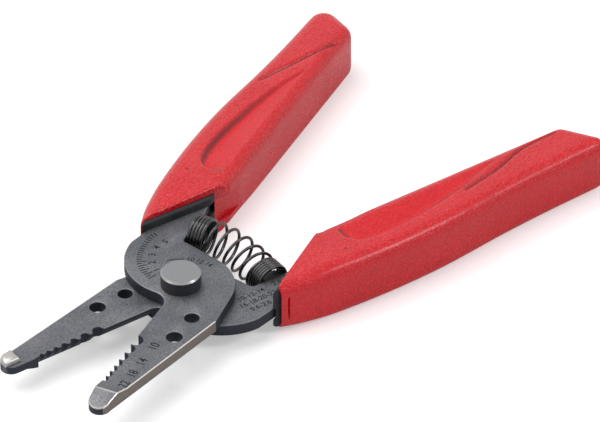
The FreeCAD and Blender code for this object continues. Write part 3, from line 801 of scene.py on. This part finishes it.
    def build(self, finish: bpy.types.Material, frame_: HalfFrame) -> bpy.types.Object:
        """Makes the cover and puts it on its body.

        Args:
            finish: the red finish.
            frame_: the half's axes.

        Returns:
            The cover.
        """
        plan, triangles = self.plan()
        w = self.height(plan)
        top = np.column_stack([plan, w])
        low = np.column_stack([plan, -w])
        points = [top, low]
        faces = [list(f) for f in triangles] + [[i + len(top) for i in f[::-1]] for f in triangles]
        total = 2 * len(top)
        round_way = len(self.line)
        ring = list(range(round_way))
        heights = np.linspace(1, -1, 9)[1:-1]
        lengths = walked(self.line)
        from_front = lengths[-1] - lengths
        notch = self.flap_depth * (1 - step(np.abs(from_front - self.flap) / self.flap_width))
        rows = [ring]
        for share in heights:
            moved = offset(self.line, 1.0) - self.line
            plan_row = self.line + moved * notch[:, None]
            level = share * w[:round_way]
            rows.append(list(range(total, total + round_way)))
            points.append(np.column_stack([plan_row, level]))
            total += round_way
        rows.append([i + len(top) for i in ring])
        for above, below in zip(rows[:-1], rows[1:]):
            for k in range(round_way - 1):
                faces.append([above[k + 1], above[k], below[k], below[k + 1]])
        mouth_ids = [round_way - 1 + k for k in range(len(self.mouth) - 1)] + [0]
        first_wall, last_wall = [r[0] for r in rows], [r[-1] for r in rows]
        loop = mouth_ids + first_wall[1:-1]
        loop += [i + len(top) for i in mouth_ids[::-1]] + last_wall[1:-1][::-1]
        everything = np.concatenate(points)
        outer_loop = everything[loop]
        inner_loop = self.shrink(outer_loop)
        for shift in (0.0, 5.0):
            new = inner_loop + np.array([shift, 0.0, 0.0])
            ids = list(range(total, total + len(loop)))
            total += len(loop)
            everything = np.concatenate([everything, new])
            for k in range(len(loop)):
                n = (k + 1) % len(loop)
                faces.append([loop[k], loop[n], ids[n], ids[k]])
            loop = ids
        smooth, wall = np.zeros(len(everything)), np.zeros(len(everything))
        sheet = slice(0, 2 * len(top))
        sunk, steep = self.sunk(everything[sheet, :2])
        smooth[sheet] = np.clip(sunk / 0.3, 0, 1)
        gap = distance_to(everything[sheet, :2], self.groove_line())
        from_pit = np.linalg.norm(everything[sheet, :2] - np.array(self.pit), axis=1)
        groove_shade = 0.8 * (1 - step(gap / self.groove_width))
        pit_shade = 1 - step(from_pit / (1.3 * self.pit_radius))
        # The wall values are painted shade for the red finish: they darken the panel's steep wall, the
        # groove and the pit.
        wall[sheet] = np.maximum(np.clip(steep * 1.3, 0, 1), np.maximum(groove_shade, pit_shade))
        values = {"smooth": smooth, "wall": wall}
        obj = make_object(
            f"{self.side.value}_cover", frame_.place(everything), faces, finish, 80.0, values
        )
        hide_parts(f"{self.side.value}_grip_cover")
        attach(obj, self.side.body)
        return obj

    def shrink(self, loop: np.ndarray) -> np.ndarray:
        """The mouth's loop moved in by the wall, in the mouth's own slanted plane."""
        slope = np.array([self.mouth_inner[0] - self.front, self.mouth_inner[1] - self.mouth_outer])
        length = float(np.linalg.norm(slope))
        way = slope / length
        start = np.array([self.front, self.mouth_outer])
        along = (loop[:, :2] - start) @ way
        height = loop[:, 2]
        core_outer = float(self.outer(np.array([self.front]))[0]) - self.wall
        low = (core_outer - self.mouth_outer) / way[1]
        high = (self.mouth_inner[1] + self.wall - self.mouth_outer) / way[1]
        moved = np.clip(along, max(low, 0.6), high)
        level = np.clip(height, -self.half_height + self.wall, self.half_height - self.wall)
        return np.column_stack([start[0] + moved * way[0], start[1] + moved * way[1], level])


# ---------------------------------------------------------------- spring


@dataclass
class ReturnSpring:
    """An open coil between the two seats, close wound at each end, bent in an even curve."""

    seat: Point = (20.9, 7.0)
    layer: float = 1.53
    radius: float = 4.15
    wire: float = 0.76
    closed_turns: float = 5.2
    open_turns: float = 5.6
    pitch: float = 1.02
    ease: float = 0.1
    pull: float = 1.45
    first_angle: float = 0.6
    end_thin: float = 0.6
    steps: int = 40
    corners: int = 10

    def build(self, finish: bpy.types.Material, halves: dict[Side, HalfFrame]) -> bpy.types.Object:
        """Winds the coil and bends it between the halves.

        Args:
            finish: the wire's finish.
            halves: both halves' axes.

        Returns:
            The spring.
        """
        ends, ways = {}, {}
        for side, half in halves.items():
            seat = np.array([[*self.seat, self.layer], [self.seat[0], self.seat[1] - 1.0, self.layer]])
            placed = half.place(seat)
            ends[side] = placed[0]
            way = placed[1] - placed[0]
            ways[side] = way / np.linalg.norm(way)
        low, high = ends[Side.LOWER], ends[Side.UPPER]
        line = self.centre_line(low, ways[Side.LOWER], high, ways[Side.UPPER])
        closed = self.closed_turns * self.wire * MM * self.pitch
        lengths = walked(line)
        total = lengths[-1]
        turns = 2 * self.closed_turns + self.open_turns
        t = np.linspace(0, turns, int(turns * self.steps) + 1)
        open_length = total - 2 * closed
        middle = np.clip((t - self.closed_turns) / self.open_turns, 0, 1)
        eased = middle - self.ease * np.sin(2 * np.pi * middle) / (2 * np.pi)
        last = np.maximum(t - self.closed_turns - self.open_turns, 0)
        along = np.minimum(t, self.closed_turns) / self.closed_turns * closed
        along = along + eased * open_length + last / self.closed_turns * closed
        centre = np.stack([np.interp(along, lengths, line[:, k]) for k in range(3)], 1)
        tangent = np.gradient(centre, axis=0)
        tangent /= np.linalg.norm(tangent, axis=1)[:, None]
        up = np.array([0.0, 0.0, 1.0])
        side_way = np.cross(tangent, up)
        side_way /= np.linalg.norm(side_way, axis=1)[:, None]
        lift = np.cross(side_way, tangent)
        angle = (2 * np.pi * t + self.first_angle)[:, None]
        path = centre + self.radius * MM * (np.cos(angle) * side_way + np.sin(angle) * lift)
        points, faces = self.tube(path)
        obj = make_object("spring_coil", points, faces, finish, 60.0)
        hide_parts("return_spring")
        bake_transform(obj)
        return obj

    def centre_line(
        self, low: np.ndarray, low_way: np.ndarray, high: np.ndarray, high_way: np.ndarray
    ) -> np.ndarray:
        """A line between the seats that leaves each of them squarely.

        Args:
            low: the lower seat.
            low_way: the direction the seat faces, away from it.
            high: the upper seat.
            high_way: the direction that seat faces, away from it.

        Returns:
            Points along it.
        """
        pull = np.linalg.norm(high - low) * self.pull
        t = np.linspace(0, 1, 200)[:, None]
        a = 2 * t ** 3 - 3 * t ** 2 + 1
        b = t ** 3 - 2 * t ** 2 + t
        c = -2 * t ** 3 + 3 * t ** 2
        d = t ** 3 - t ** 2
        return a * low + b * pull * low_way + c * high - d * pull * high_way

    def tube(self, path: np.ndarray) -> tuple[np.ndarray, list[list[int]]]:
        """A round wire along a path.

        Args:
            path: rows in metres.

        Returns:
            Its points and faces, with rounded ends.
        """
        tangent = np.gradient(path, axis=0)
        tangent /= np.linalg.norm(tangent, axis=1)[:, None]
        normal = np.cross(tangent[0], np.array([0.0, 0.0, 1.0]))
        normal /= np.linalg.norm(normal)
        rows = []
        radius = self.wire * MM / 2
        for i, (here, way) in enumerate(zip(path, tangent)):
            normal = normal - way * (normal @ way)
            normal /= np.linalg.norm(normal)
            other = np.cross(way, normal)
            thin = self.end_thin if i in (0, len(path) - 1) else 1.0
            for k in range(self.corners):
                angle = 2 * math.pi * k / self.corners
                rows.append(here + thin * radius * (math.cos(angle) * normal + math.sin(angle) * other))
        faces = []
        n = self.corners
        for i in range(len(path) - 1):
            for k in range(n):
                m = (k + 1) % n
                faces.append([i * n + k, i * n + m, (i + 1) * n + m, (i + 1) * n + k])
        faces.append(list(range(n))[::-1])
        faces.append([(len(path) - 1) * n + k for k in range(n)])
        return np.array(rows), faces


# ---------------------------------------------------------------- steel


@dataclass
class SteelHalf:
    """One stamped half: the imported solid, with its sharp edges broken so that they catch the light."""

    frame_: HalfFrame
    break_edge: float = 0.22
    teeth: tuple[float, float, float] = (-40.2, -19.5, -3.4)
    jaw: Point = (-47.8, -9.6)
    ridge: float = -42.5
    nose_start: float = -39.4
    lip_round: float = 1.3
    outer_face: float = 3.03
    outer_run: tuple[Point, Point] = ((-45.1, -4.6), (-9.1, -13.3))
    outer_reach: float = 0.4
    # How bright each place is painted: wear, and a painted highlight on the broken edges and the lip.
    outer_wear_and_highlight: float = 0.95
    nose_wear_and_highlight: float = 0.4
    rim_wear_and_highlight: float = 0.1
    lip_wear_and_highlight: float = 0.6

    def build(self, finish: bpy.types.Material) -> bpy.types.Object:
        """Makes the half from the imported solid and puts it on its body."""
        side = self.frame_.side
        mesh = frame["nodes"][f"{side.value}_blade"].data.copy()
        mesh.materials.clear()
        mesh.materials.append(finish)
        obj = bpy.data.objects.new(f"{side.value}_stamping", mesh)
        bpy.context.scene.collection.objects.link(obj)
        self.break_edges(mesh)
        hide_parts(f"{side.value}_blade")
        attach(obj, side.body)
        return obj

    def break_edges(self, mesh: bpy.types.Mesh) -> None:
        """Rounds the lip, breaks the rims, and marks the faces that are ground, on the nose, or worn and
        given a painted highlight.
        """
        work = bmesh.new()
        work.from_mesh(mesh)
        bmesh.ops.remove_doubles(work, verts=work.verts[:], dist=2e-6)
        bmesh.ops.dissolve_limit(
            work, angle_limit=math.radians(0.6), verts=work.verts[:], edges=work.edges[:],
            delimit={"NORMAL"},
        )
        wear_and_highlight, ground, nose = (work.faces.layers.float.new(key) for key in ("wear_and_highlight", "ground", "nose"))
        self.bevel(work, [e for e in work.edges if self.is_lip(e)], self.lip_round, 5)
        sharp = [e for e in work.edges if len(e.link_faces) == 2 and (self.is_rim(e) or self.is_ridge(e))]
        broken = set(self.bevel(work, sharp, self.break_edge, 2))
        for face in work.faces:
            face.smooth = True
            place = self.frame_.find(face.calc_center_median())
            outer = self.jaw[0] < place.x < self.jaw[1] and self.on_outer_side(place)
            face[ground] = 1.0 if outer else 0.0
            if place.x < self.ridge or place.z < 0:
                face[nose] = 1.0
            elif place.x < self.nose_start:
                face[nose] = 0.6
            # Broken edges and the lip are painted bright: wear and a painted highlight.
            if face in broken:
                plain = self.nose_wear_and_highlight if place.x < self.nose_start else self.rim_wear_and_highlight
                face[wear_and_highlight] = self.outer_wear_and_highlight if outer else plain
            elif place.z < -0.1:
                face[wear_and_highlight] = self.lip_wear_and_highlight
        for parts in (work.verts, work.faces):
            parts.sort(key=self.position)
            parts.index_update()
        work.to_mesh(mesh)
        work.free()
        mesh.set_sharp_from_angle(angle=math.radians(35))

    @staticmethod
    def position(part: Union[bmesh.types.BMVert, bmesh.types.BMFace]) -> float:
        """A number that orders points or faces by where they are, the same in every run."""
        place = part.co if isinstance(part, bmesh.types.BMVert) else part.calc_center_median()
        return place.x + place.y * math.sqrt(2) + place.z * math.sqrt(3)

    @staticmethod
    def bevel(
        work: bmesh.types.BMesh, edges: Sequence[bmesh.types.BMEdge], size: float, steps: int
    ) -> list[bmesh.types.BMFace]:
        """Rounds edges.

        Args:
            work: the mesh.
            edges: which of its edges.
            size: how far the rounding reaches, in millimetres.
            steps: faces across it.

        Returns:
            The new faces.
        """
        if not edges:
            return []
        made = bmesh.ops.bevel(
            work, geom=list(edges), offset=size * MM, offset_type="OFFSET", segments=steps, profile=0.5,
            affect="EDGES", clamp_overlap=False, harden_normals=False,
        )
        return made["faces"]

    def on_outer_side(self, place: Vector) -> bool:
        """Whether a point is on the jaw's outer side, the straight run from the nose to the heel."""
        start, finish = map(Vector, self.outer_run)
        way = (finish - start).normalized()
        gap = (place.xy - start).cross(way)
        return abs(gap) < self.outer_reach

    def is_lip(self, edge: bmesh.types.BMEdge) -> bool:
        """Whether an edge runs round the top of the lip that stands into the other half's layer."""
        return all(self.frame_.find(v.co).z < -1.0 for v in edge.verts)

    def is_rim(self, edge: bmesh.types.BMEdge) -> bool:
        """Whether an edge lies between a flat and an upright side, off the teeth and the falling nose."""
        flats = sorted(abs(f.normal.z) for f in edge.link_faces)
        middle = self.frame_.find((edge.verts[0].co + edge.verts[1].co) / 2)
        first, last, inner = self.teeth
        at_teeth = first < middle.x < last and middle.y > inner
        falling = self.frame_.side is Side.LOWER and middle.x < self.nose_start
        return flats[1] > 0.9 and flats[0] < 0.3 and not at_teeth and not falling

    def is_ridge(self, edge: bmesh.types.BMEdge) -> bool:
        """Whether an edge is the ridge across the nose."""
        places = [self.frame_.find(v.co) for v in edge.verts]
        return all(abs(p.x - self.ridge) < 0.05 and p.z > self.outer_face + 0.3 for p in places)


# ---------------------------------------------------------------- marks


@dataclass
class GaugeMarks:
    """Etched wire sizes beside the notches, a tick scale round the shoulder, and numbers by the pivot."""

    frame_: HalfFrame
    proud: float = 0.012
    outer_face: float = 3.03
    inner_face: float = 0.03
    notches: tuple[float, ...] = (-23.3, -29.5, -34.2, -38.4)
    gauges: tuple[str, ...] = ("10", "14", "18", "22")
    scale_centre: Point = (9.4, 3.1)
    scale_radius: float = 11.7
    ticks: int = 22
    tick_start: float = 157.0
    tick_step: float = 4.4
    digit_start: float = 148.0
    digit_step: float = 21.0
    digit_radius: float = 8.1
    arc_radius: float = 9.5
    number_radius: float = 9.6
    points: list[np.ndarray] = field(default_factory=list)
    faces: list[list[int]] = field(default_factory=list)

    def build(self, finish: bpy.types.Material) -> bpy.types.Object:
        """Draws the half's marks and puts them on its body."""
        upper = self.frame_.side is Side.UPPER
        if upper:
            self.outer_side()
        else:
            self.inner_side()
        level = self.outer_face + self.proud if upper else self.inner_face - self.proud
        plan = np.concatenate(self.points)
        rows = self.frame_.place(np.column_stack([plan, np.full(len(plan), level)]))
        obj = make_object(f"{self.frame_.side.value}_etching", rows, self.faces, finish, 90.0)
        for polygon in obj.data.polygons:
            if polygon.normal.z < 0:
                polygon.flip()
        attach(obj, self.frame_.side.body)
        return obj

    def outer_side(self) -> None:
        """The upper half's marks, on its outer face."""
        for u, text in zip(self.notches, self.gauges):
            self.write(text, (u, -4.8), 2.2, 0.0, 0.82)
        centre = np.array(self.scale_centre)
        for k in range(self.ticks):
            angle = math.radians(self.tick_start - self.tick_step * k)
            way = np.array([math.cos(angle), math.sin(angle)])
            length = 2.3 if k < 9 and k % 2 == 0 else 1.3
            outer = centre + way * (self.scale_radius + 0.028 * max(0.0, 90 - math.degrees(angle)))
            self.stroke(outer, outer - way * length)
        for k, text in enumerate(("1", "2", "3", "4", "5")):
            angle = math.radians(self.digit_start - self.digit_step * k)
            place = centre + self.digit_radius * np.array([math.cos(angle), math.sin(angle)])
            self.write(text, (float(place[0]), float(place[1])), 1.7, math.degrees(angle) - 90, 1.0)
        arc = [math.radians(a) for a in np.linspace(46, 22, 9)]
        ring = [self.arc_radius * np.array([math.cos(a), math.sin(a)]) for a in arc]
        for start, finish in zip(ring[:-1], ring[1:]):
            self.stroke(start, finish)
        for text, angle in (("10", 13.0), ("12", -1.0), ("14", -15.0)):
            turn = math.radians(angle)
            place = self.number_radius * np.array([math.cos(turn), math.sin(turn)])
            self.write(text, (float(place[0]), float(place[1])), 1.5, angle - 90, 0.85)

    def inner_side(self) -> None:
        """The lower half's marks, on the face that meets the upper half."""
        rows = (
            ("10-12-14", 13.0, 9.4), ("16-18-20-22", 13.4, 11.7), ("0.6-2.6", 12.6, 14.0), ("2.6", 20.6, 9.0)
        )
        for text, u, v in rows:
            self.write(text, (u, v), 1.5, 0.0, 0.95)

    def write(self, text: str, place: Point, height: float, turn: float, width: float) -> None:
        """Adds a number.

        Args:
            text: its digits.
            place: its middle, as u, v.
            height: its height in millimetres.
            turn: how far it is turned anticlockwise as it is read, in degrees.
            width: its width as a share of the plain letters'.
        """
        curve = bpy.data.curves.new("digits", "FONT")
        curve.body = text
        curve.size = height / 0.7
        curve.offset = 0.012 * height
        curve.resolution_u = 3
        curve.align_x, curve.align_y = "CENTER", "CENTER"
        holder = bpy.data.objects.new("digits", curve)
        bpy.context.scene.collection.objects.link(holder)
        mesh = bpy.data.meshes.new_from_object(holder)
        x, y = np.array([v.co[:2] for v in mesh.vertices]).T
        x = x * width
        angle = math.radians(turn)
        u = x * math.cos(angle) - y * math.sin(angle)
        v = (x * math.sin(angle) + y * math.cos(angle)) * self.frame_.side.sign
        points = np.column_stack([place[0] + u, place[1] + v])
        self.add(points, [list(p.vertices) for p in mesh.polygons])
        bpy.data.objects.remove(holder)
        bpy.data.curves.remove(curve)
        bpy.data.meshes.remove(mesh)

    def stroke(self, start: np.ndarray, finish: np.ndarray, width: float = 0.27) -> None:
        """Adds a straight stroke between two points in plan."""
        way = (finish - start) / np.linalg.norm(finish - start)
        side = np.array([-way[1], way[0]]) * width / 2
        self.add(np.array([start + side, finish + side, finish - side, start - side]), [[0, 1, 2, 3]])

    def add(self, points: np.ndarray, faces: list[list[int]]) -> None:
        """Keeps a flat mark."""
        first = sum(len(p) for p in self.points)
        self.points.append(points)
        self.faces += [[first + i for i in f] for f in faces]


# ---------------------------------------------------------------- studio


@dataclass
class Studio:
    """A pale floor, a pale surround, soft lamps and the camera."""

    pivot: Vector
    reach: Point = (49.77, 5.94)
    azimuth: float = -50.18
    elevation: float = 36.7
    distance: float = 1.2
    lens: float = 303.5
    fill: float = 0.28
    floor_size: float = 3.0
    floor_colour: Colour = (0.86, 0.86, 0.87)
    floor_glow: float = 0.39

    def build(self) -> None:
        """Sets up the world, the floor, the lamps and the camera."""
        self.surround()
        self.floor()
        self.lamp("overhead", (-0.3, 0.5, 1.1), 1.2, 13.0)
        self.lamp("front", (0.45, -1.0, 0.95), 0.4, 5.5)
        self.camera()

    def surround(self) -> None:
        """The world: an even pale light, white to the camera and in reflections."""
        world = bpy.data.worlds.new("studio")
        bpy.context.scene.world = world
        world.use_nodes = True
        tree = world.node_tree
        background = next(n for n in tree.nodes if n.type == "BACKGROUND")
        background.inputs["Color"].default_value = (1.0, 1.0, 1.0, 1.0)
        path = tree.nodes.new("ShaderNodeLightPath")
        camera, glossy = (Sock(tree, path.outputs[f"Is {kind} Ray"]) for kind in ("Camera", "Glossy"))
        strength = self.fill + camera.math("MAXIMUM", glossy) * (1.0 - self.fill)
        tree.links.new(strength.socket, background.inputs["Strength"])

    def floor(self) -> None:
        """A wide matt floor that shows white but keeps the tool's shadow."""
        size = self.floor_size
        corners = [(-size, -size, 0), (size, -size, 0), (size, size, 0), (-size, size, 0)]
        mesh = bpy.data.meshes.new("floor")
        mesh.from_pydata(corners, [], [(0, 1, 2, 3)])
        floor = bpy.data.objects.new("floor", mesh)
        bpy.context.scene.collection.objects.link(floor)
        paint = Paint("floor", Roughness=0.9, Specular_IOR_Level=0.1)
        paint.shader.inputs["Base Color"].default_value = (*self.floor_colour, 1.0)
        seen = paint.node("LightPath", {}, {}, "Is Camera Ray")
        paint.shader.inputs["Emission Strength"].default_value = 1.0
        glow = paint.mix(seen, (0.0, 0.0, 0.0), (self.floor_glow,) * 3)
        mesh.materials.append(paint.feed(Emission_Color=glow))

    def lamp(self, name: str, place: Colour, size: float, power: float) -> None:
        """A square soft lamp that points at the tool.

        Args:
            name: the lamp's name.
            place: where it hangs, in metres.
            size: its side in metres.
            power: watts.
        """
        data = bpy.data.lights.new(name, "AREA")
        data.shape = "SQUARE"
        data.size = size
        data.energy = power
        lamp = bpy.data.objects.new(name, data)
        bpy.context.scene.collection.objects.link(lamp)
        lamp.location = place
        lamp.rotation_euler = (-Vector(place)).to_track_quat("-Z", "Y").to_euler()

    def camera(self) -> None:
        """The camera, at the tool's three-quarter view."""
        data = bpy.data.cameras.new("camera")
        data.lens = self.lens
        data.sensor_width = 36.0
        data.clip_end = 20.0
        camera = bpy.data.objects.new("camera", data)
        bpy.context.scene.collection.objects.link(camera)
        azimuth, elevation = math.radians(self.azimuth), math.radians(self.elevation)
        level = math.cos(elevation)
        back = Vector((math.sin(azimuth) * level, -math.cos(azimuth) * level, math.sin(elevation)))
        target = Vector((self.pivot.x + self.reach[0] * MM, self.reach[1] * MM, 0.0))
        camera.location = target + back * self.distance
        camera.rotation_euler = (-back).to_track_quat("-Z", "Y").to_euler()
        scene = bpy.context.scene
        scene.camera = camera
        scene.view_settings.view_transform = "Standard"


def dress(node: str, finish: bpy.types.Material) -> None:
    """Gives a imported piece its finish."""
    mesh = frame["nodes"][node].data
    mesh.materials.clear()
    mesh.materials.append(finish)


def main() -> None:
    """Builds the tool piece by piece and lights it."""
    logging.basicConfig(level=logging.INFO, format="%(name)s: %(message)s")
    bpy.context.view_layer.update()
    pivot = Vector(frame["joints"][0]["pos_m"])
    halves = {side: HalfFrame(side, pivot) for side in Side}
    steel, red, etched = BlackOxide().make(), MouldedRed().make(), Engraved().make()
    pivot_steel, liner, wire = PivotSteel().make(), MattLiner().make(), BlackWire().make()
    for side in Side:
        piece = SteelHalf(halves[side]).build(steel)
        LOG.info("%s: %d faces", piece.name, len(piece.data.polygons))
        marks = GaugeMarks(halves[side]).build(etched)
        LOG.info("%s: %d faces", marks.name, len(marks.data.polygons))
        cover = GripCover(side, groove=GROOVES[side], end_radii=END_RADII[side]).build(red, halves[side])
        LOG.info("%s: %d faces", cover.name, len(cover.data.polygons))
        dress(f"{side.value}_grip_core", liner)
    for node in ("pivot_bolt", "pivot_washer", "pivot_nut"):
        dress(node, pivot_steel)
    spring = ReturnSpring().build(wire, halves)
    LOG.info("%s: %d faces", spring.name, len(spring.data.polygons))
    Studio(pivot).build()


if __name__ == "__main__":
    main()
